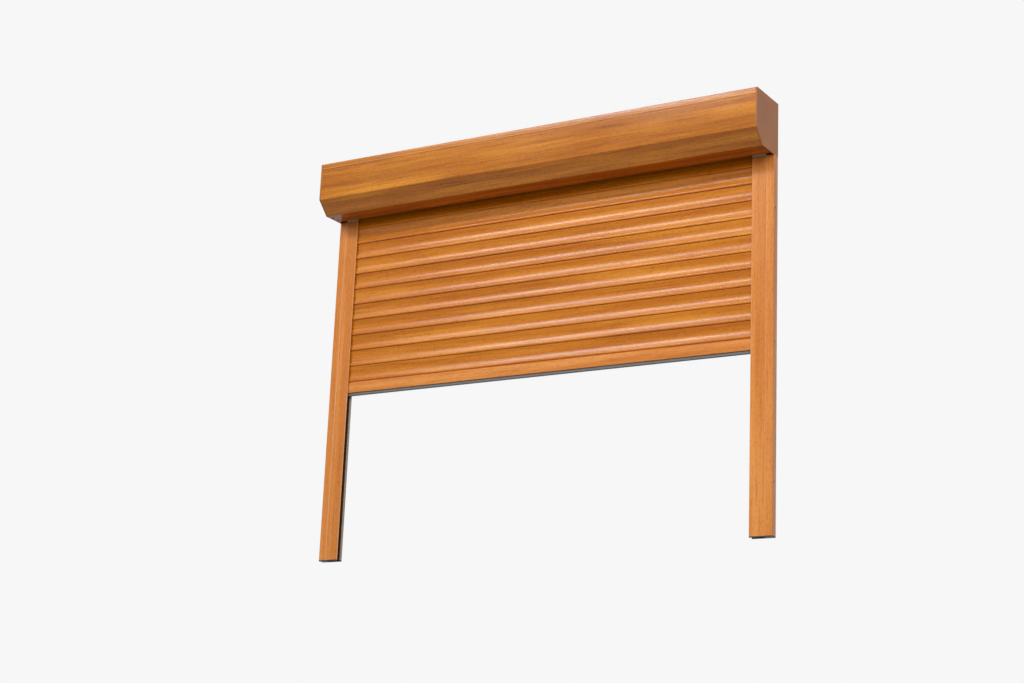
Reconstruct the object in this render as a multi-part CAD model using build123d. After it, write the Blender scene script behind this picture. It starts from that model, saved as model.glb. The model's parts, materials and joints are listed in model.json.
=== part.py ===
from build123d import *
from math import acos, asin, atan2, cos, degrees, hypot, pi, radians, sin, sqrt
import os

# A roller shutter in an aluminium frame: two guide rails, a box with a 45 degree lower front edge,
# and a curtain of hollow slats, part of it wound on an octagonal tube. Millimetres. X runs across the
# opening, Y goes into the building, Z is up. Z = 0 is the rails' foot, and X = Y = 0 is the middle.

# Frame
overall_width = 1500.0
rail_height = 1085.0
box_height = 160.0
box_depth = 146.0
box_chamfer = 42.0
mouth_front = 32.0           # rear edge of the box's underside, in front of the curtain
cover_sheet = 1.4
cover_corner = 2.5
cover_slip = 0.2             # between a cover and what it slides on
top_seam = 18.0              # from the box's top down to the seam on its front
rear_seam = 12.0
seam_groove = 2.4
seam_lap = 9.0
underside_return = 9.0       # how far the front cover turns under the box
hem = 9.0
guide_setback = 2.5          # from the slats back to the foot of the rear panel's lip
guide_end = 4.0              # from the rear panel's lip to the rails

# Guide rails
rail_width = 68.0
rail_depth = 26.0
rail_wall = 1.6
rail_face = 2.0
rail_chamber = 25.0          # from the rail's outer side to the web beside the slot
slot_width = 17.5
rail_corner = 1.2
face_groove = 2.0
seal_width = 5.6
seal_rib = 1.2
rib_root = 0.2
seal_setback = 2.0
seal_edge = 0.9
foot_plate = 3.0
foot_peg = 14.0
plug_slip = 0.25
fixing_radius = 3.0
fixing_access_radius = 6.0
fixing_pitch = 390.0
fixing_count = 3
fixing_first = 150.0

# Slats
slat_pitch = 50.0
slat_depth = 9.0
slat_wall = 1.0
slat_hollow = 3.6            # how deep the face is hollowed between lip and shoulder
slat_nose = 1.5              # radius of the lip's lower edge
slat_land = 5.0              # height of the lip's flat, below the hollow
land_blend = 8.0             # radius from the flat into the hollow
slat_setback = 5.0           # from the rail's face back to the slats' lips
slat_end_gap = 6.0
straight_slats = 12
wound_slats = 11
hook_in = 4.2                # hinge axis behind the lip
hook_drop = 0.4              # hinge axis and lip's lower edge below the slat's own zero
shoulder_setback = 0.6
bead_radius = 1.2
socket_clearance = 0.25
socket_wall = 0.75
socket_relief = 0.3
neck_width = 0.8
hinge_gap = 0.35             # between a lip that swings and the shoulder below it
curtain_slip = 0.35          # between the curtain and the seals
swing_limit = 76.0
swing_play = 2.0             # degrees of spare mouth at each end of the swing

# Bottom bar
bar_height = 36.5
bar_depth = 8.6
bar_wall = 1.5
bar_corner = 0.8
seal_bulb = 3.6
seal_drop = 10.5
seal_foot = 4.4
seal_neck = 2.0
bar_slip = 0.2
plug_plate = 2.0
plug_inset = 0.4

# Roll
roll_rise = 74.6             # tube's axis above the rails' tops
roll_radius = 60.5           # hinge axis of the top straight slat, from the tube's axis
turn_rise = 9.8
tube_flats = 60.0
tube_sides = 8
tube_wall = 0.8
tube_end_gap = 6.0           # from the ends of the slats back to the tube's ends
link_width = 36.0
link_sheet = 1.2
link_grip = 10.0
link_play = 10.0             # degrees of spare mouth at each side of the slat's neck
link_places = (-480.0, 0.0, 480.0)

# End plates and bearings
plate_thickness = 4.0
plate_rim = 2.0
plate_rim_depth = 10.0
rim_gap = 1.0
rim_mouth = 27.0             # height of the rim's opening for the curtain
spigot_length = 42.0
spigot_wall = 2.5
pad_radius = 40.0
pad_depth = 4.0
bracket_sheet = 3.0
screw_circle = 33.0
screw_radius = 2.4
screw_head = 4.5
screw_head_height = 2.8
screw_head_edge = 1.0
screw_slip = 0.1
first_screw = 45.0
screw_count = 4
rivet_radius = 1.9
rivet_head = 4.0
rivet_head_height = 1.2
rivet_top_inset = 40.0       # from the box's front and rear to the top cover's rivets
rivet_front_inset = 22.0     # from the 45 degree edge to the underside's front rivet
rivet_rear_inset = 12.0      # from the underside's rear edge to its rear rivet

# Motor and idler
motor_radius = 22.5
motor_length = 470.0
head_radius = 26.0
head_gap = 1.0               # between the slats' ends and the motor's head
head_edge = 1.5
shaft_half = 6.0             # half the side of the square shaft and of the head's square stub
shaft_gap = 2.0              # between the motor and the drive wheel
shaft_collar = 1.0
journal_radius = 8.0
journal_length = 8.0
crown_length = 16.0
ring_clearance = 0.3
fit_slip = 0.2
wheel_length = 15.0
inlet_width = 14.0
inlet_height = 9.0
inlet_length = 10.0
inlet_radius = 3.0
pin_radius = 6.0
pin_slip = 0.05
hub_radius = 12.0
plug_rim = 4.0
cap_length = 50.0
cap_web = 8.0
cap_flange = 3.0
bearing_radius = 14.0
bearing_width = 8.0
race_gap = 2.0
ball_radius = 2.0
ball_count = 9
ball_clearance = 0.3
cup_wall = 3.0
cup_lip = 1.2
cup_lip_reach = 2.0

# Entry funnels
funnel_depth = 22.0
funnel_rise = 15.0
funnel_flare = 5.0
funnel_wall = 1.6
funnel_collar = 3.5
funnel_slip = 0.5

spare = 1.0                  # how far a cut runs past what it cuts

half_width = overall_width / 2
rail_inner = half_width - rail_width
rail_web = half_width - rail_chamber
box_top = rail_height + box_height
rear = box_depth / 2
front = -rear
rail_front = rear - rail_depth
slot_front = rail_front + rail_face
slot_rear = slot_front + slot_width
rib_edges = (rail_inner + seal_setback, rail_inner + seal_setback + seal_rib + seal_width + 2 * plug_slip)
lip_plane = rail_front + slat_setback
slat_rear = lip_plane + slat_depth
slat_end = rail_web - rail_wall / 2 - slat_end_gap
socket_radius = bead_radius + socket_clearance
socket_outer = socket_radius + socket_wall
shoulder = slat_pitch - hook_drop - hook_in - hinge_gap
hook_plane = lip_plane + hook_in
axis_y = hook_plane - roll_radius
axis_z = rail_height + roll_rise
first_line = axis_z + hook_drop - straight_slats * slat_pitch
cover_end = half_width - plate_thickness - cover_slip
rim_end = half_width - plate_thickness - plate_rim_depth - rim_gap
pad_face = half_width - plate_thickness - pad_depth
tube_end = slat_end - tube_end_gap
tube_plug = tube_flats - 2 * tube_wall - 2 * fit_slip
motor_end = slat_end + head_gap
motor_start = motor_end - motor_length
wheel_start = motor_start - shaft_gap - wheel_length
bearing_end = pad_face - bracket_sheet
bearing_start = bearing_end - bearing_width
race_middle = (bearing_radius + pin_radius) / 2


def rect(y_low, z_low, y_high, z_high):
    """A rectangle in a profile, from one corner to the other."""
    return Pos((y_low + y_high) / 2, (z_low + z_high) / 2) * Rectangle(y_high - y_low, z_high - z_low)


def block(low, high):
    """A box from its lowest corner to its highest."""
    size = [h - l for l, h in zip(low, high)]
    middle = [(h + l) / 2 for l, h in zip(low, high)]
    return Pos(*middle) * Box(*size)


def along_x(profile, start, end):
    """A profile drawn in Y and Z, run along X."""
    return extrude(Plane.YZ.offset(start) * profile, amount=end - start)


def disc(radius, start, end, y=axis_y, z=axis_z):
    """A round bar along X, on the tube's axis unless another is given."""
    return along_x(Pos(y, z) * Circle(radius), start, end)


def opposite(shape):
    """The same piece for the other end of the frame."""
    return mirror(shape, about=Plane.YZ)


def save(name, shape):
    export_step(shape, f"parts/{name}.step")


def group(pieces):
    return Compound(children=list(pieces))


# Box covers: one ring of sheet, parted at the seams

def box_outline(inset=0.0):
    """The box's section, with the lower front edge cut off at 45 degrees."""
    corners = [(rear, rail_height), (rear, box_top), (front, box_top),
               (front, rail_height + box_chamfer), (front + box_chamfer, rail_height)]
    outline = make_face(Polyline(*corners, close=True))
    outline = fillet(outline.vertices(), cover_corner)
    if inset:
        outline = offset(outline, amount=-inset, kind=Kind.INTERSECTION)
    return outline


cover_ring = box_outline() - box_outline(cover_sheet)
seam_front = box_top - top_seam
seam_rear = box_top - rear_seam
seam_under = front + box_chamfer + underside_return
inside = cover_sheet + cover_slip


def tongue(skin, inward, seam):
    """The upper edge of a cover, joggled to slip in behind the cover above it. inward is +1 or -1 in Y."""
    near = skin + inward * inside
    far = near + inward * cover_sheet
    foot = seam - seam_groove
    leaf = rect(min(near, far), foot - cover_sheet, max(near, far), foot + seam_lap)
    step = rect(min(skin, far), foot - cover_sheet, max(skin, far), foot)
    return leaf + step


def top_cover():
    upper = rect(front, seam_front, 0, box_top) + rect(0, seam_rear, rear, box_top)
    return along_x(cover_ring & upper, -cover_end, cover_end)


def front_cover():
    lower = rect(front, rail_height, seam_under, seam_front - seam_groove)
    sheet = along_x(cover_ring & lower, -cover_end, cover_end)
    return sheet + along_x(tongue(front, 1, seam_front), -rim_end, rim_end)


def bottom_panel():
    """The underside: flat, lapped over the front cover's return and hemmed up in front of the curtain."""
    sheet = rect(seam_under + cover_slip, rail_height, mouth_front, rail_height + cover_sheet)
    lap_z = rail_height + inside
    lap = rect(seam_under - underside_return / 2, lap_z, seam_under + hem / 2, lap_z + cover_sheet)
    step = rect(seam_under + cover_slip, rail_height, seam_under + hem / 2, lap_z + cover_sheet)
    upstand = rect(mouth_front - cover_sheet, rail_height, mouth_front, rail_height + hem)
    inner = along_x(lap + step + upstand, -rim_end, rim_end)
    return along_x(sheet, -cover_end, cover_end) + inner


def rear_panel():
    """The panel against the wall, with a lip that keeps the curtain off it."""
    sheet = rect(rear - cover_sheet, rail_height, rear, seam_rear - seam_groove)
    lip_low = slat_rear + guide_setback
    lip_high = slat_rear + funnel_flare
    bend = lip_low + 1.5 * cover_sheet
    lip = make_face(Polyline((rear, rail_height), (lip_low, rail_height), (lip_high, rail_height + hem),
                             (lip_high + cover_sheet, rail_height + hem), (bend, rail_height + cover_sheet),
                             (rear, rail_height + cover_sheet), close=True))
    reach = rail_inner - guide_end
    return along_x(sheet, -cover_end, cover_end) + along_x(tongue(rear, -1, seam_rear) + lip, -reach, reach)


# End plates: cast, with a rim inside the covers, a pad for the bearing, and a spigot in the rail

rivet_spots = [(front + rivet_top_inset, box_top, -1), (rear - rivet_top_inset, box_top, -1),
               (front + box_chamfer + rivet_front_inset, rail_height, 1),
               (mouth_front - rivet_rear_inset, rail_height, 1)]
rivet_x = half_width - plate_thickness - plate_rim_depth / 2


def screw_places():
    for i in range(screw_count):
        turn = radians(first_screw) + 2 * pi * i / screw_count
        yield axis_y + screw_circle * cos(turn), axis_z + screw_circle * sin(turn)


def rivet_hole(y, z, inward):
    depth = inside + plate_rim
    low = min(z, z + inward * depth)
    return Pos(rivet_x, y, low + depth / 2) * Cylinder(rivet_radius + screw_slip, depth)


def end_plate():
    plate_inner = half_width - plate_thickness
    plate = along_x(box_outline(), plate_inner, half_width)
    rim_profile = box_outline(inside) - box_outline(inside + plate_rim)
    rim_profile -= rect(mouth_front, rail_height, rear, rail_height + rim_mouth)
    rim = along_x(rim_profile, plate_inner - plate_rim_depth, plate_inner)
    pad = disc(pad_radius, pad_face, plate_inner)
    slip = rail_wall + plug_slip
    low_x = rail_web + rail_wall / 2 + plug_slip
    high_x = half_width - slip
    low_y = rail_front + rail_face + plug_slip
    high_y = rear - slip
    foot_top = rail_height + plate_thickness
    spigot = block((low_x, low_y, rail_height - spigot_length), (high_x, high_y, foot_top))
    spigot -= block((low_x + spigot_wall, low_y + spigot_wall, rail_height - spigot_length),
                    (high_x - spigot_wall, high_y - spigot_wall, rail_height))
    foot = block((low_x, low_y, rail_height), (half_width - plate_thickness / 2, high_y, foot_top))
    cast = plate + rim + pad + spigot + foot
    for y, z in screw_places():
        cast -= disc(screw_radius + screw_slip, pad_face, half_width - plate_thickness / 2, y, z)
    for spot in rivet_spots:
        cast -= rivet_hole(*spot)
    return cast


def rivets():
    """Blind rivets that hold the covers to the rims of both end plates."""
    reach = inside + plate_rim
    for side in (1, -1):
        for y, z, inward in rivet_spots:
            shank = Pos(0, 0, inward * reach / 2) * Cylinder(rivet_radius, reach)
            head = Pos(0, 0, -inward * rivet_head_height / 2) * Cylinder(rivet_head, rivet_head_height)
            yield Pos(side * rivet_x, y, z) * (shank + head)


def drill_covers(cover, level):
    """The cover with its rivet holes at both ends."""
    for y, z, inward in rivet_spots:
        if z == level:
            hole = rivet_hole(y, z, inward)
            cover = cover - hole - opposite(hole)
    return cover


# Guide rails: extruded, with a slot for the curtain, a chamber beside it, and a hollow behind it

def rail_section():
    body = rect(rail_inner, rail_front, half_width, rear)
    body = fillet(body.vertices(), rail_corner)
    web_low = rail_web - rail_wall / 2
    web_high = rail_web + rail_wall / 2
    body -= rect(web_high, slot_front, half_width - rail_wall, rear - rail_wall)
    body -= rect(rail_inner - spare, slot_front, web_low, slot_rear)
    body -= rect(rail_inner + rail_wall, slot_rear + rail_wall, web_low, rear - rail_wall)
    body -= Pos(rail_web, rail_front) * Rot(0, 0, 45) * Rectangle(face_groove, face_groove)
    for edge in rib_edges:
        body += rect(edge, slot_front - rib_root, edge + seal_rib, slot_front + seal_rib)
        body += rect(edge, slot_rear - seal_rib, edge + seal_rib, slot_rear + rib_root)
    return body


def guide_rail():
    rail = extrude(Pos(0, 0, foot_plate) * rail_section(), amount=rail_height - foot_plate)
    middle = (slot_front + slot_rear) / 2
    for i in range(fixing_count):
        z = fixing_first + i * fixing_pitch
        rail -= disc(fixing_radius, half_width - 2 * rail_wall, half_width + spare, middle, z)
        rail -= disc(fixing_access_radius, rail_web - 2 * rail_wall, rail_web + 2 * rail_wall, middle, z)
    return rail


def rail_seals():
    """A front and a rear strip with a soft rounded edge, between the ribs of the slot."""
    low = rib_edges[0] + seal_rib + plug_slip
    high = low + seal_width
    top = rail_height - funnel_depth - funnel_slip
    for wall, tip in ((slot_front, lip_plane - curtain_slip), (slot_rear, slat_rear + curtain_slip)):
        strip = rect(low, min(wall, tip), high, max(wall, tip))
        soft = strip.vertices().sort_by(lambda v: abs(v.Y - tip))[:2]
        strip = fillet(soft, seal_edge)
        yield extrude(Pos(0, 0, foot_plate) * strip, amount=top - foot_plate)


def foot_plug():
    """A plastic cap on the rail's foot, with a peg up the chamber and another up the rear hollow."""
    plate = rect(rail_inner, rail_front, half_width, rear)
    plate = fillet(plate.vertices(), rail_corner)
    plate -= rect(rail_inner - spare, slot_front, rail_web - rail_wall / 2, slot_rear)
    plug = extrude(plate, amount=foot_plate)
    gap = rail_wall + plug_slip
    plug += block((rail_web + rail_wall / 2 + plug_slip, slot_front + plug_slip, foot_plate),
                  (half_width - gap, rear - gap, foot_plate + foot_peg))
    plug += block((rail_inner + gap, slot_rear + gap, foot_plate),
                  (rail_web - rail_wall / 2 - plug_slip, rear - gap, foot_plate + foot_peg))
    return plug


def entry_funnel():
    """A plastic mouth on the rail's top that leads the slats into the slot."""
    low = rail_height - funnel_depth
    high = rail_height + funnel_rise
    wall = funnel_wall
    cheeks = Sketch()
    for inner, outer, out in ((lip_plane - funnel_slip, slot_front + plug_slip, -1),
                              (slat_rear + funnel_slip, slot_rear - plug_slip, 1)):
        cheeks += make_face(Polyline((inner, low), (inner, rail_height),
                                     (inner + out * funnel_flare, high),
                                     (inner + out * (funnel_flare + wall), high),
                                     (outer, rail_height + wall), (outer, low), close=True))
    right = rail_web - rail_wall / 2 - plug_slip
    funnel = along_x(cheeks, rail_inner, right)
    funnel += block((right - wall, slot_front + plug_slip, low), (right, slot_rear - plug_slip, rail_height))
    rear_shift = slot_rear - seal_rib - plug_slip - slot_front + spare
    for edge in rib_edges:
        rib = block((edge - plug_slip, slot_front - spare, low - spare),
                    (edge + seal_rib + plug_slip, slot_front + seal_rib + plug_slip, rail_height))
        funnel -= rib
        funnel -= Pos(0, rear_shift, 0) * rib
    collar = block((rail_inner, rail_front + rail_face / 2, rail_height),
                   (right, slot_front + plug_slip, rail_height + funnel_collar))
    collar += block((rail_inner, slot_rear - plug_slip, rail_height),
                    (right, slot_rear + 2 * rail_wall, rail_height + funnel_collar))
    return funnel + collar


# Slats: extruded hollow, with a bead on a neck above and the socket for the next bead below

def sector(radius, start, end):
    """A pie slice of a profile, between two angles in degrees."""
    middle = (start + end) / 2
    points = [(radius * cos(radians(a)), radius * sin(radians(a))) for a in (start, middle, end)]
    return make_face(Polyline((0, 0), points[0], points[1], points[2], close=True))


def socket(mouth_middle, mouth_angle, wall):
    """A round socket, open over mouth_angle degrees, on the origin of the profile."""
    outer = socket_radius + wall
    ring = Circle(outer) - Circle(socket_radius)
    return ring - sector(3 * outer, mouth_middle - mouth_angle / 2, mouth_middle + mouth_angle / 2)


def neck_and_bead(height, root):
    """The bead at a slat's top, at hook height, and the neck that carries it."""
    bead = Pos(hook_in, height) * Circle(bead_radius)
    return bead + rect(hook_in - neck_width / 2, root, hook_in + neck_width / 2, height)


neck_half_angle = degrees(asin(neck_width / 2 / socket_radius))
hanging = -90.0              # direction of the neck below a straight joint, in degrees


def slat_socket():
    """The socket below a slat. Its mouth lets the next slat down swing from straight to the swing limit."""
    start = hanging + neck_half_angle + swing_play
    end = hanging - swing_limit - neck_half_angle - swing_play
    return Pos(hook_in, -hook_drop) * socket((start + end) / 2, start - end, socket_wall)


def slat_profile():
    """Y from the lip. The face is hollow down to a flat lip with a round nose, and the back is bowed."""
    middle = shoulder / 2
    lip = (0, -hook_drop)
    land = (0, slat_land)
    hinge = (hook_in, -hook_drop)
    back_low = (hook_in + socket_outer, socket_wall)
    back_high = (hook_in + socket_outer, shoulder - socket_wall)
    top_front = (shoulder_setback, shoulder)
    top_rear = (hook_in + neck_width, shoulder)
    hollow_low = (slat_hollow, (slat_land + shoulder) / 2)
    outline = [Line(lip, land), ThreePointArc(land, hollow_low, top_front), Line(top_front, top_rear),
               Line(top_rear, back_high), ThreePointArc(back_high, (slat_depth, middle), back_low),
               Line(back_low, hinge), Line(hinge, lip)]
    body = make_face(Curve() + outline)
    body = fillet(body.vertices().sort_by_distance(lip)[0], slat_nose)
    body = fillet(body.vertices().sort_by_distance(land)[0], land_blend)
    hollow = offset(body, amount=-slat_wall, kind=Kind.INTERSECTION)
    hollow -= Pos(*hinge) * Circle(socket_outer + socket_relief)
    body -= Pos(*hinge) * Circle(socket_radius)
    body += slat_socket()
    body -= hollow
    return body + neck_and_bead(slat_pitch - hook_drop, shoulder - slat_wall / 2)


def bar_profile():
    """The bottom bar: a flat-faced hollow box, with a slot below for its rubber seal."""
    top = shoulder - slat_pitch
    low = -bar_height
    body = rect(0, low, bar_depth, top)
    body = fillet(body.vertices(), bar_corner)
    body -= rect(bar_wall, low + 3 * bar_wall + seal_neck, bar_depth - bar_wall, top - bar_wall)
    middle = bar_depth / 2
    foot = seal_foot / 2 + bar_slip
    neck = seal_neck / 2 + bar_slip
    body -= rect(middle - foot, low + bar_wall, middle + foot, low + bar_wall + seal_neck + bar_slip)
    body -= rect(middle - neck, low, middle + neck, low + bar_wall)
    return body + neck_and_bead(-hook_drop, top - bar_wall / 2)


def seal_profile():
    """The rubber seal: a foot in the bar's slot, a neck, and a hollow bulb below."""
    middle = bar_depth / 2
    foot_low = -bar_height + bar_wall + bar_slip / 2
    bulb_middle = -bar_height - seal_drop + seal_bulb
    foot = rect(middle - seal_foot / 2, foot_low, middle + seal_foot / 2, foot_low + seal_neck)
    neck = rect(middle - seal_neck / 2, bulb_middle, middle + seal_neck / 2, foot_low + seal_neck / 2)
    bulb = Pos(middle, bulb_middle) * Circle(seal_bulb)
    hole = Pos(middle, bulb_middle) * Circle(seal_bulb - bar_wall)
    return foot + neck + bulb - hole


def bar_plug():
    """A plastic plug in each end of the bottom bar."""
    slip = bar_wall + plug_slip
    top = shoulder - slat_pitch
    low = -bar_height + 3 * bar_wall + seal_neck + plug_slip
    peg = rect(slip, low, bar_depth - slip, top - slip)
    plate = rect(plug_inset, -bar_height + plug_inset, bar_depth - plug_inset, top - plug_inset)
    plug = along_x(plate, slat_end, slat_end + plug_plate) + along_x(peg, slat_end - foot_peg, slat_end)
    return Pos(0, lip_plane, first_line) * plug


# Winding: each hinge axis is one pitch from the last, on a spiral that closes in by turn_rise a turn

def spiral(angle):
    radius = roll_radius - turn_rise * angle / (2 * pi)
    return axis_y + radius * cos(angle), axis_z + radius * sin(angle)


def next_hinge(angle):
    """The angle on the spiral that is one slat pitch further on, by halving."""
    y, z = spiral(angle)
    low = angle
    high = angle + pi
    for _ in range(50):
        middle = (low + high) / 2
        y2, z2 = spiral(middle)
        if hypot(y2 - y, z2 - z) < slat_pitch:
            low = middle
        else:
            high = middle
    return low


def hinge_angles():
    angles = [0.0]
    for _ in range(wound_slats):
        angles.append(next_hinge(angles[-1]))
    return angles


def hinge_points():
    return [spiral(a) for a in hinge_angles()]


def slat_tilts():
    """How far each wound slat is turned about X from upright, in degrees, growing along the spiral."""
    points = hinge_points()
    tilts = []
    for (y, z), (y2, z2) in zip(points, points[1:]):
        tilt = degrees(atan2(z2 - z, y2 - y)) + hanging
        while tilts and tilt < tilts[-1]:
            tilt += 360.0
        tilts.append(tilt)
    return tilts


def last_point():
    """The last hinge axis, its distance from the tube's axis, and its angle."""
    angle = hinge_angles()[-1]
    return spiral(angle), roll_radius - turn_rise * angle / (2 * pi), angle


link_level = tube_flats / 2 + link_sheet / 2


def link_angle():
    """The angle of the flat on which the links lie, where a line from the last hinge meets the tube."""
    _, radius, angle = last_point()
    return degrees(angle + acos(link_level / radius))


def octagon(flats):
    """An octagon round the tube's axis, with one flat facing the links."""
    shape = RegularPolygon(flats / 2, tube_sides, major_radius=False)
    return Pos(axis_y, axis_z) * Rot(0, 0, link_angle() + 180.0 / tube_sides) * shape


def links():
    """Steel hangers that grip the last bead and lie on a flat of the tube."""
    (y, z), radius, _ = last_point()
    reach = sqrt(radius ** 2 - link_level ** 2)
    to_flat = radians(link_angle())
    direction = degrees(atan2(cos(to_flat), -sin(to_flat)))
    below_bead = slat_tilts()[-1] + hanging
    clip = socket(below_bead, 2 * degrees(asin(neck_width / socket_radius)) + 2 * link_play, link_sheet)
    arm = rect(socket_radius + link_sheet / 2, -link_sheet / 2, reach + link_grip, link_sheet / 2)
    profile = Pos(y, z) * (clip + Rot(0, 0, direction) * arm)
    for x in link_places:
        yield along_x(profile, x - link_width / 2, x + link_width / 2)


# Motor, in the tube's right end, and idler, in its left

def square_bar(half_side, start, end):
    """A square bar along X, on the tube's axis."""
    return along_x(Pos(axis_y, axis_z) * Rectangle(2 * half_side, 2 * half_side), start, end)


def motor_body():
    """The motor's steel tube, with the bore that its shaft comes out of."""
    body = disc(motor_radius, motor_start, motor_end)
    return body - disc(journal_radius + ring_clearance, motor_start, motor_start + journal_length)


def motor_shaft():
    """The output shaft: a journal in the motor's bore, and a square end through the drive wheel."""
    collar = motor_start - shaft_collar
    journal = disc(journal_radius, collar, motor_start + journal_length - ring_clearance)
    return journal + square_bar(shaft_half, wheel_start, collar)


def motor_head():
    """The fixed head, with the cable's inlet below and a square stub that sits in the bracket."""
    end = pad_face - bracket_sheet
    start = motor_end + head_edge
    head = disc(head_radius, motor_end, end)
    head = fillet(head.edges().filter_by(GeomType.CIRCLE), head_edge)
    head += block((start, axis_y - inlet_width / 2, axis_z - head_radius - inlet_height),
                  (start + inlet_length, axis_y + inlet_width / 2, axis_z - head_radius / 2))
    mouth = Pos(start + inlet_length / 2, axis_y, axis_z - head_radius - inlet_height)
    head -= mouth * Cylinder(inlet_radius, inlet_height)
    return head + square_bar(shaft_half, end, pad_face)


def screw_holes():
    for y, z in screw_places():
        yield disc(screw_radius + screw_slip, pad_face - bracket_sheet, pad_face, y, z)


def bracket():
    """A pressed steel plate with a square hole for the motor's stub."""
    plate = disc(pad_radius, pad_face - bracket_sheet, pad_face)
    plate -= square_bar(shaft_half + fit_slip, pad_face - bracket_sheet, pad_face)
    for hole in screw_holes():
        plate -= hole
    return plate


def holder():
    """The bearing holder: a plate and a cup, with a lip in front of the bearing."""
    body = disc(pad_radius, bearing_end, pad_face)
    body += disc(bearing_radius + cup_wall, bearing_start - cup_lip, pad_face)
    body -= disc(bearing_radius + fit_slip / 2, bearing_start, bearing_end)
    body -= disc(bearing_radius - cup_lip_reach, bearing_start - cup_lip, pad_face)
    for hole in screw_holes():
        body -= hole
    return opposite(body)


def screws(side):
    """Four pan-head screws through the bracket or the holder into the end plate's pad."""
    top = pad_face - bracket_sheet
    for y, z in screw_places():
        screw = disc(screw_radius, top, half_width - plate_thickness, y, z)
        head = disc(screw_head, top - screw_head_height, top, y, z)
        screw += fillet(head.edges().group_by(Axis.X)[0], screw_head_edge)
        yield screw if side > 0 else opposite(screw)


def race(outer, inner):
    """One ring of the ball bearing, with the groove that the balls run in."""
    ring = disc(outer, bearing_start, bearing_end) - disc(inner, bearing_start, bearing_end)
    middle = (bearing_start + bearing_end) / 2
    groove = Pos(middle, axis_y, axis_z) * Rot(0, 90, 0) * Torus(race_middle, ball_radius + ball_clearance)
    return opposite(ring - groove)


def balls():
    middle = (bearing_start + bearing_end) / 2
    for i in range(ball_count):
        turn = 2 * pi * i / ball_count
        y = axis_y + race_middle * cos(turn)
        z = axis_z + race_middle * sin(turn)
        yield Pos(-middle, y, z) * Sphere(ball_radius)


def idler_pin():
    return opposite(disc(pin_radius, tube_end - cap_length + cap_flange, bearing_end - fit_slip))


def relief(start, end):
    """The hollow between a moulded wheel's hub and its rim."""
    ring = Circle(tube_plug / 2 - plug_rim) - Circle(hub_radius)
    return along_x(Pos(axis_y, axis_z) * ring, start, end)


def idler_cap():
    """The moulded plug in the tube's left end, which holds the pin."""
    plug = along_x(octagon(tube_plug), -tube_end, -tube_end + cap_length)
    plug += along_x(octagon(tube_flats), -tube_end - cap_flange, -tube_end)
    plug -= disc(pin_radius + pin_slip, -tube_end - cap_flange, -tube_end + cap_length)
    return plug - relief(-tube_end + cap_web, -tube_end + cap_length)


def crown():
    """The ring that turns with the tube on the motor's body and tells the motor how far it has turned."""
    ring = along_x(octagon(tube_plug), tube_end - crown_length, tube_end)
    ring += along_x(octagon(tube_flats), tube_end, tube_end + cap_flange)
    return ring - disc(motor_radius + ring_clearance, tube_end - crown_length, tube_end + cap_flange)


def drive_wheel():
    """The moulded wheel that the motor's shaft turns, and that turns the tube."""
    wheel = along_x(octagon(tube_plug), wheel_start, wheel_start + wheel_length)
    wheel -= square_bar(shaft_half + fit_slip, wheel_start, wheel_start + wheel_length)
    return wheel - relief(wheel_start, wheel_start + wheel_length / 2)


os.makedirs("parts", exist_ok=True)

save("box_top_cover", drill_covers(top_cover(), box_top))
save("box_front_cover", front_cover())
save("box_bottom_panel", drill_covers(bottom_panel(), rail_height))
save("box_rear_panel", rear_panel())
save("cover_rivets", group(rivets()))

for name, piece in (("end_plate", end_plate()), ("guide_rail", guide_rail()),
                    ("rail_foot_plug", foot_plug()), ("entry_funnel", entry_funnel()),
                    ("rail_seals", group(rail_seals()))):
    save(f"{name}_right", piece)
    save(f"{name}_left", opposite(piece))

slat = along_x(slat_profile(), -slat_end, slat_end)
for i in range(straight_slats):
    save(f"slat_{i + 1:02d}", Pos(0, lip_plane, first_line + i * slat_pitch) * slat)
for i, ((y, z), tilt) in enumerate(zip(hinge_points(), slat_tilts())):
    placed = Pos(0, y, z) * Rot(tilt, 0, 0) * Pos(0, -hook_in, hook_drop) * slat
    save(f"wound_slat_{i + 1:02d}", placed)

save("bottom_bar", Pos(0, lip_plane, first_line) * along_x(bar_profile(), -slat_end, slat_end))
save("bottom_seal", Pos(0, lip_plane, first_line) * along_x(seal_profile(), -slat_end, slat_end))
save("bar_end_plugs", group((bar_plug(), opposite(bar_plug()))))

save("winding_tube", along_x(octagon(tube_flats) - octagon(tube_flats - 2 * tube_wall), -tube_end, tube_end))
save("curtain_links", group(links()))
save("idler_cap", idler_cap())
save("idler_pin", idler_pin())
save("bearing_inner_race", race(race_middle - race_gap / 2, pin_radius + pin_slip))
save("bearing_outer_race", race(bearing_radius, race_middle + race_gap / 2))
save("bearing_balls", group(balls()))
save("bearing_holder", holder())
save("holder_screws", group(screws(-1)))
save("motor_body", motor_body())
save("motor_shaft", motor_shaft())
save("motor_head", motor_head())
save("motor_bracket", bracket())
save("bracket_screws", group(screws(1)))
save("crown", crown())
save("drive_wheel", drive_wheel())
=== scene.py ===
import json
from math import cos, pi, radians, sin

import bmesh
import bpy
from mathutils import Matrix, Vector

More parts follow.
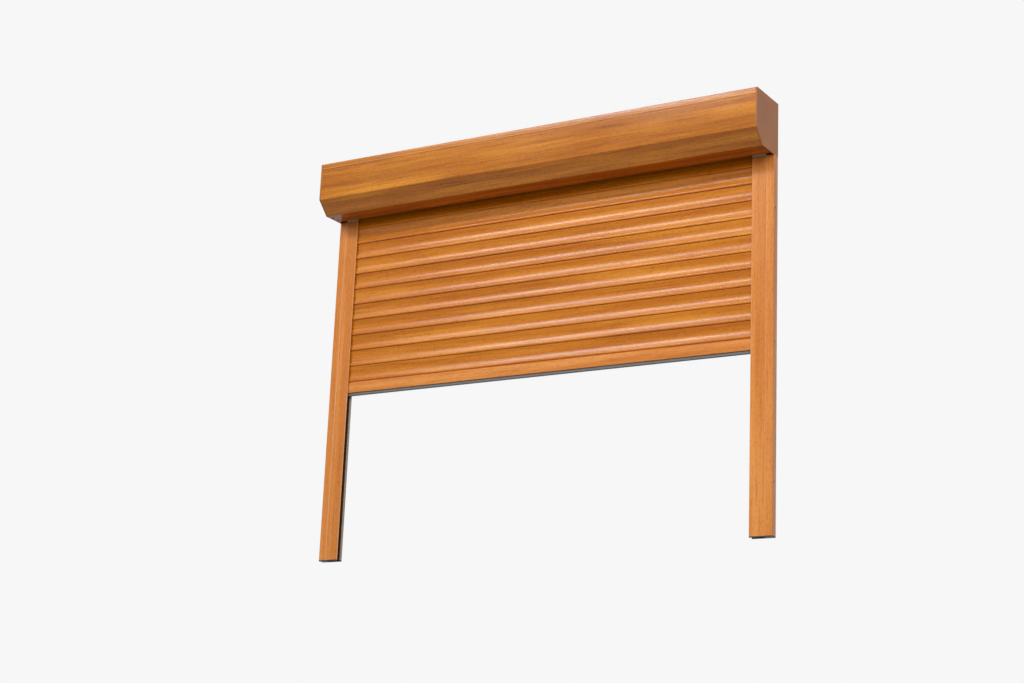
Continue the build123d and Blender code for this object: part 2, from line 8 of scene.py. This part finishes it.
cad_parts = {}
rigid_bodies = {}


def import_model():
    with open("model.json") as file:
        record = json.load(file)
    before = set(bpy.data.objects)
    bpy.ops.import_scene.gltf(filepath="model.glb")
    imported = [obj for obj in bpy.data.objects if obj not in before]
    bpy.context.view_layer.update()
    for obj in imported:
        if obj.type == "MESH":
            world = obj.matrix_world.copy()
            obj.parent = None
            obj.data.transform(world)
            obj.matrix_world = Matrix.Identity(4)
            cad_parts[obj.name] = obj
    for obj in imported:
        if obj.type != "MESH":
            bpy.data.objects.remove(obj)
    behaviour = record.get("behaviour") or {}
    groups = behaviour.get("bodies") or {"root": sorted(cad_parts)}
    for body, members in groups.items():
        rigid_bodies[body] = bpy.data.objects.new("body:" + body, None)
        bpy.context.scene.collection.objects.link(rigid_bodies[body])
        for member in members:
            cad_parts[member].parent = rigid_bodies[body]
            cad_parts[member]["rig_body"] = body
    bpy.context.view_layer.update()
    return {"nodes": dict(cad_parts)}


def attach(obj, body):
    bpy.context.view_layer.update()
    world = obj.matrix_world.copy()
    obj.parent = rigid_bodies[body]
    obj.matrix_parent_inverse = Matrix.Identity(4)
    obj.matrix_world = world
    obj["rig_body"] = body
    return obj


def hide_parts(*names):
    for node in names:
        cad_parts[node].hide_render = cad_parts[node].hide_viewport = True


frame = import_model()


# End plates: sand-cast aluminium, sprayed to match the film, with the spray's fine orange peel. Each closes
# one end of the box, carries the motor's bracket or the bearing, and stands in its rail by a spigot. The
# shader classes and the function that dresses a CAD piece start here, and every later section uses them.

plate_colour = (0.46, 0.150, 0.018)
plate_shade = (0.36, 0.105, 0.011)
plate_roughness = 0.40
plate_rounding = 0.0005
peel_lumps = 900.0             # per metre, as all lumps below
cloud_lumps = 9.0
peel_depth = 0.00008
joined_within = 2e-6
flat_within = radians(0.3)
crease = radians(30.0)
rounding_steps = 2


class Value:
    """A shader socket in a formula."""

    def __init__(self, finish, socket):
        self.finish = finish
        self.socket = socket

    def math(self, operation, first, second):
        return self.finish.node("ShaderNodeMath", {"operation": operation}, {0: first, 1: second})

    def __add__(self, other):
        return self.math("ADD", self, other)

    def __sub__(self, other):
        return self.math("SUBTRACT", self, other)

    def __rsub__(self, other):
        return self.math("SUBTRACT", other, self)

    def __mul__(self, other):
        return self.math("MULTIPLY", self, other)

    __radd__ = __add__
    __rmul__ = __mul__

    def size(self):
        return self.math("ABSOLUTE", self, 0.0)


class Finish:
    """A material whose colour, roughness and bump are formulas on the piece's own coordinates."""

    def __init__(self, name, **constants):
        self.material = bpy.data.materials.new(name)
        self.material.use_nodes = True
        self.nodes = self.material.node_tree.nodes
        self.links = self.material.node_tree.links
        self.shader = self.nodes["Principled BSDF"]
        self.place = self.node("ShaderNodeTexCoord", output="Object")
        for socket, value in constants.items():
            self.feed(self.shader.inputs[socket.replace("_", " ")], value)

    def feed(self, socket, value):
        if isinstance(value, Value):
            self.links.new(value.socket, socket)
        elif isinstance(value, tuple) and len(value) == 3 and len(getattr(socket, "default_value", ())) == 4:
            socket.default_value = (*value, 1.0)
        else:
            socket.default_value = value

    def node(self, kind, settings=None, sockets=None, output=0):
        made = self.nodes.new(kind)
        for name, value in (settings or {}).items():
            setattr(made, name, value)
        for name, value in (sockets or {}).items():
            self.feed(made.inputs[name], value)
        return Value(self, made.outputs[output])

    def noise(self, lumps, stretch=(1.0, 1.0, 1.0), detail=3.0, roughness=0.55):
        """Noise from 0 to 1. lumps is their number per metre, and stretch multiplies it along each axis."""
        where = self.node("ShaderNodeMapping", sockets={"Vector": self.place, "Scale": stretch},
                          output="Vector")
        return self.node("ShaderNodeTexNoise", sockets={"Vector": where, "Scale": lumps, "Detail": detail,
                                                        "Roughness": roughness})

    def axis(self, number):
        """The place along an axis in metres: 0 for X, 1 for Y and 2 for Z."""
        return self.node("ShaderNodeSeparateXYZ", sockets={"Vector": self.place}, output=number)

    def band(self, value, low, high):
        """0 below low, 1 above high, and a slope between."""
        return self.node("ShaderNodeMapRange", {"clamp": True},
                         {"Value": value, "From Min": low, "From Max": high})

    def mix(self, amount, first, second):
        """From one colour to another by amount."""
        return self.node("ShaderNodeMix", {"data_type": "RGBA"}, {0: amount, 6: first, 7: second}, output=2)

    def finish(self, colour, roughness=None, height=None, depth=0.0):
        """depth is the bump's height in metres."""
        self.feed(self.shader.inputs["Base Color"], colour)
        if roughness is not None:
            self.feed(self.shader.inputs["Roughness"], roughness)
        if height is not None:
            bump = self.node("ShaderNodeBump", sockets={"Height": height, "Strength": 1.0, "Distance": depth})
            self.feed(self.shader.inputs["Normal"], bump)
        return self.material


def dressed(node, material, rounding=0.0):
    """The CAD piece as one joined mesh. Its curves shade smoothly, and rounding is its corners' size."""
    source = frame["nodes"][node]
    mesh = source.data.copy()
    mesh.materials.clear()
    mesh.materials.append(material)
    form = bmesh.new()
    form.from_mesh(mesh)
    bmesh.ops.remove_doubles(form, verts=form.verts, dist=joined_within)
    bmesh.ops.dissolve_limit(form, angle_limit=flat_within, verts=form.verts, edges=form.edges)
    for face in form.faces:
        face.smooth = True
        face.material_index = 0
    for line in form.edges:
        line.smooth = line.calc_face_angle(pi) < crease
    form.to_mesh(mesh)
    form.free()
    piece = bpy.data.objects.new(f"{node}_finished", mesh)
    bpy.context.scene.collection.objects.link(piece)
    if rounding:
        bevel = piece.modifiers.new("rounded_corners", "BEVEL")
        bevel.width = rounding
        bevel.segments = rounding_steps
        bevel.limit_method = "ANGLE"
        bevel.angle_limit = crease
        bevel.harden_normals = True
    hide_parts(node)
    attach(piece, source["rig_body"])
    return piece


def sprayed():
    paint = Finish("sprayed_casting", Specular_IOR_Level=0.45)
    peel = paint.noise(peel_lumps, detail=2.0)
    cloud = paint.noise(cloud_lumps)
    colour = paint.mix(paint.band(cloud, 0.35, 0.7), plate_colour, plate_shade)
    return paint.finish(colour, plate_roughness + peel * 0.1, peel, peel_depth)


casting = sprayed()
for side in ("left", "right"):
    dressed(f"end_plate_{side}", casting, plate_rounding)


# Guide rails: extruded aluminium in a golden woodgrain film that is baked on under clear lacquer, with the
# grain upright. A groove runs down the face over the web. Behind the slot, inside and at the back, the metal
# has only its pale primer.

# the same film as on the slats, painted lighter as painted light; the bottom bar wears it too
lit_rail_film = ((0.775, 0.268, 0.0450), (0.520, 0.142, 0.0160), (0.900, 0.362, 0.0850))
# the pale colour of the painted highlight lines on the film
painted_highlight_colour = (0.860, 0.450, 0.2100)
primer = (0.420, 0.400, 0.370)
film_roughness = 0.18
film_depth = 0.00010
# lumps along the grain and across it, detail and roughness
pore_grain = (34.0, 700.0, 4.0, 0.62)
streak_grain = (5.0, 190.0, 3.0, 0.60)
figure_grain = (1.6, 34.0, 3.0, 0.55)
speckle_grain = (85.0, 260.0, 3.0, 0.65)
film_cloud_lumps = 3.0
groove_place = 0.7262
inner_corner = 0.6825
# strength and width in metres of the painted highlight lines
highlight_strength = 0.6
highlight_reach = 0.0024
slot_back = 0.0660
film_side = 0.7490
film_fade = 0.0003
rail_rounding = 0.0003


def woodgrain(name, along, colours, highlight_lines=(), roughness=film_roughness):
    """The film, its grain along an axis. The fourth argument lists axis, place and strength of each painted
    highlight line.
    """
    def grain(lengthwise, across, detail, unevenness):
        stretch = tuple(lengthwise if axis == along else across for axis in range(3))
        return film.noise(1.0, stretch, detail, unevenness)

    film = Finish(name, Specular_IOR_Level=0.33)
    middle, dark, light = colours
    pores = grain(*pore_grain)
    streaks = grain(*streak_grain)
    figure = grain(*figure_grain)
    speckle = grain(*speckle_grain)
    cloud = film.noise(film_cloud_lumps, detail=2.0)
    darker = (film.band(pores, 0.50, 0.74) * 0.36 + film.band(streaks, 0.48, 0.72) * 0.50
              + film.band(speckle, 0.50, 0.72) * 0.50 + film.band(figure, 0.50, 0.36) * 0.24)
    lighter = film.band(figure, 0.48, 0.66) * 0.80 + film.band(cloud, 0.42, 0.70) * 0.30
    colour = film.mix(darker, film.mix(lighter, middle, light), dark)
    # each painted highlight line mixes pale film in near one place on one axis
    for axis, place, strength in highlight_lines:
        away = film.band((film.axis(axis).size() - place).size(), 0.0, highlight_reach)
        colour = film.mix((1 - away) * strength, colour, painted_highlight_colour)
    shine = roughness + film.band(pores, 0.4, 0.8) * 0.12 + film.band(cloud, 0.3, 0.7) * 0.05
    return film, colour, shine, pores * 0.6 + speckle * 0.4


def rail_finish():
    """The film on a rail's face and outer side, and primer behind the slot."""
    # painted highlight lines along the groove and the inner corner
    highlight_lines = ((0, groove_place, highlight_strength), (0, inner_corner, highlight_strength))
    film, colour, roughness, grain = woodgrain("lit_rail_film", 2, lit_rail_film, highlight_lines)
    behind = film.band(film.axis(1), slot_back, slot_back + film_fade)
    inward = 1 - film.band(film.axis(0).size(), film_side, film_side + film_fade)
    return film.finish(film.mix(behind * inward, colour, primer), roughness, grain, film_depth)


rail_coat = rail_finish()
for side in ("left", "right"):
    dressed(f"guide_rail_{side}", rail_coat, rail_rounding)


# Seal strips: soft black rubber, pushed into the slot from its end. They keep the slats from rattling and
# show as the slot's dark sides.

strip_shade = 0.016
strip_roughness = 0.62
rubber_mottle_lumps = 60.0
rubber_pore_lumps = 1600.0
rubber_depth = 0.00006
rubber_dark = (0.80, 0.80, 0.80)
rubber_pale = (1.25, 1.22, 1.18)


def rubber(name, shade, roughness):
    skin = Finish(name, Specular_IOR_Level=0.3)
    mottle = skin.noise(rubber_mottle_lumps)
    pores = skin.noise(rubber_pore_lumps, detail=2.0)
    dark, pale = (tuple(shade * channel for channel in tint) for tint in (rubber_dark, rubber_pale))
    return skin.finish(skin.mix(mottle, dark, pale), roughness + mottle * 0.12, pores, rubber_depth)


black_rubber = rubber("black_rubber", strip_shade, strip_roughness)
for side in ("left", "right"):
    dressed(f"rail_seals_{side}", black_rubber)


# Entry funnels and foot plugs: moulded plastic with a slightly mottled mould finish. The funnel is pale, and
# its collar shows as a thin line on top of the rail. Below the collar, its cheeks in the slot are painted
# dark brown as shade. The plug in the rail's foot is black.

pale_colour = (0.92, 0.88, 0.66)
pale_roughness = 0.42
# painted shade: the dark brown put on the funnel's cheeks in the slot, below the collar's foot
slot_shade_colour = (0.20, 0.085, 0.022)
collar_foot = 1.0846
collar_fade = 0.0003
black_colour = (0.022, 0.022, 0.024)
black_roughness = 0.45
haze_share = 0.86
haze_lumps = 25.0
mould_lumps = 1300.0
mould_depth = 0.00005
moulded_rounding = 0.0003


def moulded(name, colour, roughness, shade_below=None):
    plastic = Finish(name)
    grain = plastic.noise(mould_lumps, detail=2.0)
    haze = plastic.noise(haze_lumps)
    skin = plastic.mix(haze, colour, tuple(haze_share * channel for channel in colour))
    # below the collar the pale plastic is painted dark brown, as painted shade in the slot
    if shade_below is not None:
        unshaded = plastic.band(plastic.axis(2), shade_below, shade_below + collar_fade)
        skin = plastic.mix(unshaded, slot_shade_colour, skin)
    return plastic.finish(skin, roughness + haze * 0.1, grain, mould_depth)


pale_plastic = moulded("pale_plastic", pale_colour, pale_roughness, shade_below=collar_foot)
black_plastic = moulded("black_plastic", black_colour, black_roughness)
for side in ("left", "right"):
    dressed(f"entry_funnel_{side}", pale_plastic, moulded_rounding)
    dressed(f"rail_foot_plug_{side}", black_plastic, moulded_rounding)


# Bearing, at the left end: a ball bearing of bright steel, held in a pressed cup of zinc-plated steel that is
# screwed to the end plate. The tube's pin turns in it.

zinc_colour = (0.62, 0.63, 0.65)
zinc_roughness = 0.26
spangle_share = 0.72
spangle_lumps = 120.0
scratch_lumps = (30.0, 1400.0, 1400.0)
scratch_depth = 0.00002


def plated(name, colour, roughness):
    zinc = Finish(name, Metallic=1.0)
    spangle = zinc.noise(spangle_lumps, detail=2.0)
    scratches = zinc.noise(1.0, scratch_lumps)
    darker = tuple(spangle_share * channel for channel in colour)
    return zinc.finish(zinc.mix(zinc.band(spangle, 0.35, 0.7), colour, darker),
                       roughness + spangle * 0.16 + scratches * 0.08, scratches, scratch_depth)


zinc = plated("zinc_plate", zinc_colour, zinc_roughness)
for node in ("bearing_holder", "holder_screws", "bearing_outer_race", "bearing_inner_race", "bearing_balls"):
    dressed(node, zinc)


# Motor, in the tube's right end: a painted steel tube with a moulded head on a screwed bracket. Its shaft
# turns the drive wheel, and the crown tells it how far the tube has turned.

motor_colour = (0.055, 0.058, 0.062)
motor_roughness = 0.34
motor_rounding = 0.0008
wheel_rounding = 0.0004

dressed("motor_body", moulded("motor_paint", motor_colour, motor_roughness), motor_rounding)
for node in ("motor_bracket", "bracket_screws", "motor_shaft"):
    dressed(node, zinc)
for node in ("motor_head", "crown", "drive_wheel"):
    dressed(node, black_plastic, wheel_rounding)


# Winding tube: roll-formed from zinc-plated steel strip, with a moulded cap and its pin in the left end.
# Three steel hangers hook over the last slat's bead and lie on one of the tube's flats.

for node in ("winding_tube", "curtain_links", "idler_pin"):
    dressed(node, zinc)
dressed("idler_cap", black_plastic, wheel_rounding)


# Slats: extruded aluminium, hollow, in the same film with the grain sideways. Each hangs by its socket on
# the bead of the one above, twelve of them straight and eleven wound on the tube.

slat_film = ((0.660, 0.204, 0.0025), (0.395, 0.088, 0.0010), (0.790, 0.290, 0.0190))


def wrapped(name, along, colours):
    """A profile in film all round."""
    film, colour, roughness, grain = woodgrain(name, along, colours)
    return film.finish(colour, roughness, grain, film_depth)


grain_across = wrapped("slat_film", 0, slat_film)
for node in sorted(frame["nodes"]):
    if node.startswith(("slat_", "wound_slat_")):
        dressed(node, grain_across)


# Bottom bar: a flat extruded box in the same film, which is painted lighter here as painted light, as on the
# rails. It has black plugs in its ends and sits on a grey rubber seal whose foot slides into the bar's slot.

bar_rounding = 0.0003
seal_shade = 0.18
seal_roughness = 0.55

dressed("bottom_bar", wrapped("bar_film", 0, lit_rail_film), bar_rounding)
dressed("bar_end_plugs", black_plastic, bar_rounding)
dressed("bottom_seal", rubber("grey_rubber", seal_shade, seal_roughness))


# Box covers: four roll-formed aluminium sheets in the same film, painted darker here as painted shade, and
# riveted to the end plates' rims. The front one turns under at 45 degrees, and the seam near the top is where
# it hooks behind the top cover.

# the same film as on the slats, painted darker as painted shade
shaded_cover_film = ((0.565, 0.174, 0.0020), (0.260, 0.056, 0.0010), (0.800, 0.305, 0.0220))
cover_roughness = 0.10
cover_rounding = 0.0003
# height of the painted highlight line along the seam, and its strength
seam_edge = 1.2285
seam_highlight_strength = 0.5
top_level = 1.2447
top_fade = 0.0002
top_dullness = 0.40


def cover_finish():
    """The film with a painted highlight line along the seam, and duller on the box's top, which is never
    wiped.
    """
    highlight_lines = ((2, seam_edge, seam_highlight_strength),)
    film, colour, roughness, grain = woodgrain("shaded_cover_film", 0, shaded_cover_film, highlight_lines, cover_roughness)
    top = film.band(film.axis(2), top_level, top_level + top_fade)
    return film.finish(colour, roughness + top * top_dullness, grain, film_depth)


cover_coat = cover_finish()
for node in ("box_rear_panel", "box_bottom_panel", "box_front_cover", "box_top_cover"):
    dressed(node, cover_coat, cover_rounding)
dressed("cover_rivets", casting)


# Studio: a pale floor well below the shutter, which hangs free, and a white background. Two long lamps high
# in front light it as open sky does, the left one brighter. Softer ones stand lower in front, to the right
# and behind.

floor_depth = 2.3
floor_reach = 14.0
floor_roughness = 0.9
floor_lumps = 4.0
floor_colours = ((0.50, 0.495, 0.485), (0.53, 0.525, 0.515))
floor_bounce = (0.18, 0.176, 0.172)
floor_glow = (0.42, 0.415, 0.408)
unlit = (0.0, 0.0, 0.0)
white = (1.0, 1.0, 1.0)
background = 0.93
world_light = 0.36
sky_tint = (1.0, 0.985, 0.965)
fill_tint = (1.0, 0.99, 0.97)
box_middle = (0.0, 0.0, 0.8)
shutter_middle = (0.0, 0.0, 0.6)
# name, place, target, width and height in metres, watts and tint
lamps = (("sky", (-2.86, -4.9, 4.35), box_middle, (2.35, 0.95), 128.0, sky_tint),
         ("far_sky", (1.2, -4.9, 4.35), box_middle, (4.4, 0.95), 75.0, sky_tint),
         ("front", (2.2, -5.0, 2.6), shutter_middle, (3.0, 1.6), 78.0, sky_tint),
         ("fill", (3.9, -3.2, 1.5), shutter_middle, (3.0, 1.6), 42.0, fill_tint),
         ("behind", (-1.0, 4.5, 3.2), shutter_middle, (4.0, 4.0), 90.0, white))

for name, place, target, (width, height), watts, tint in lamps:
    lamp = bpy.data.objects.new(name, bpy.data.lights.new(name, "AREA"))
    lamp.data.shape = "RECTANGLE"
    lamp.data.size = width
    lamp.data.size_y = height
    lamp.data.energy = watts
    lamp.data.color = tint
    lamp.location = place
    lamp.rotation_mode = "QUATERNION"
    lamp.rotation_quaternion = (Vector(target) - Vector(place)).to_track_quat("-Z", "Y")
    bpy.context.scene.collection.objects.link(lamp)


def seen_rays(tree):
    """1 for rays from the camera, off shiny things and through clear ones, and 0 for the rest."""
    path = tree.nodes.new("ShaderNodeLightPath")
    total = path.outputs["Is Camera Ray"]
    for ray in ("Is Glossy Ray", "Is Transmission Ray"):
        largest = tree.nodes.new("ShaderNodeMath")
        largest.operation = "MAXIMUM"
        tree.links.new(total, largest.inputs[0])
        tree.links.new(path.outputs[ray], largest.inputs[1])
        total = largest.outputs[0]
    return total


def pale_floor():
    """Pale where it is seen. It throws less light up at the shutter than a white floor would."""
    screed = Finish("pale_floor", Roughness=floor_roughness, Emission_Strength=1.0)
    seen = Value(screed, seen_rays(screed.material.node_tree))
    lit = screed.mix(screed.noise(floor_lumps), *floor_colours)
    screed.feed(screed.shader.inputs["Emission Color"], screed.mix(seen, unlit, floor_glow))
    return screed.finish(screed.mix(seen, floor_bounce, lit))


floor_shape = bmesh.new()
bmesh.ops.create_grid(floor_shape, x_segments=8, y_segments=8, size=floor_reach,
                      matrix=Matrix.Translation((0, 0, -floor_depth)))
floor_mesh = bpy.data.meshes.new("floor")
floor_shape.to_mesh(floor_mesh)
floor_shape.free()
floor_mesh.materials.append(pale_floor())
floor = bpy.data.objects.new("floor", floor_mesh)
bpy.context.scene.collection.objects.link(floor)

air = bpy.data.worlds.new("air")
air.use_nodes = True
strength = air.node_tree.nodes.new("ShaderNodeMix")
strength.inputs["A"].default_value = world_light
strength.inputs["B"].default_value = background
air.node_tree.links.new(seen_rays(air.node_tree), strength.inputs["Factor"])
air.node_tree.links.new(strength.outputs["Result"], air.node_tree.nodes["Background"].inputs["Strength"])
air.node_tree.nodes["Background"].inputs["Color"].default_value = (*white, 1.0)
bpy.context.scene.world = air


# Camera: in front of the shutter, to its right and below it, looking up at the box as from the ground. Its
# place and turns were solved from the slats' lines and the rails' edges.

camera_place = Vector((2.9015, -4.806, -0.902))
camera_yaw = radians(-31.65)   # to the left of straight at the shutter
camera_pitch = radians(15.01)
camera_roll = radians(2.38)
sensor_width = 36.0
focal_pixels = 1990.0
image_width = 1024

ahead = Vector((sin(camera_yaw) * cos(camera_pitch), cos(camera_yaw) * cos(camera_pitch), sin(camera_pitch)))
level_right = ahead.cross(Vector((0, 0, 1))).normalized()
level_up = level_right.cross(ahead)
right = cos(camera_roll) * level_right + sin(camera_roll) * level_up
up = cos(camera_roll) * level_up - sin(camera_roll) * level_right

camera = bpy.data.objects.new("camera", bpy.data.cameras.new("camera"))
camera.data.sensor_width = sensor_width
camera.data.lens = focal_pixels / image_width * sensor_width
camera.matrix_world = Matrix.Translation(camera_place) @ Matrix((right, up, -ahead)).transposed().to_4x4()
bpy.context.scene.collection.objects.link(camera)
bpy.context.scene.camera = camera
bpy.context.scene.view_settings.view_transform = "Standard"
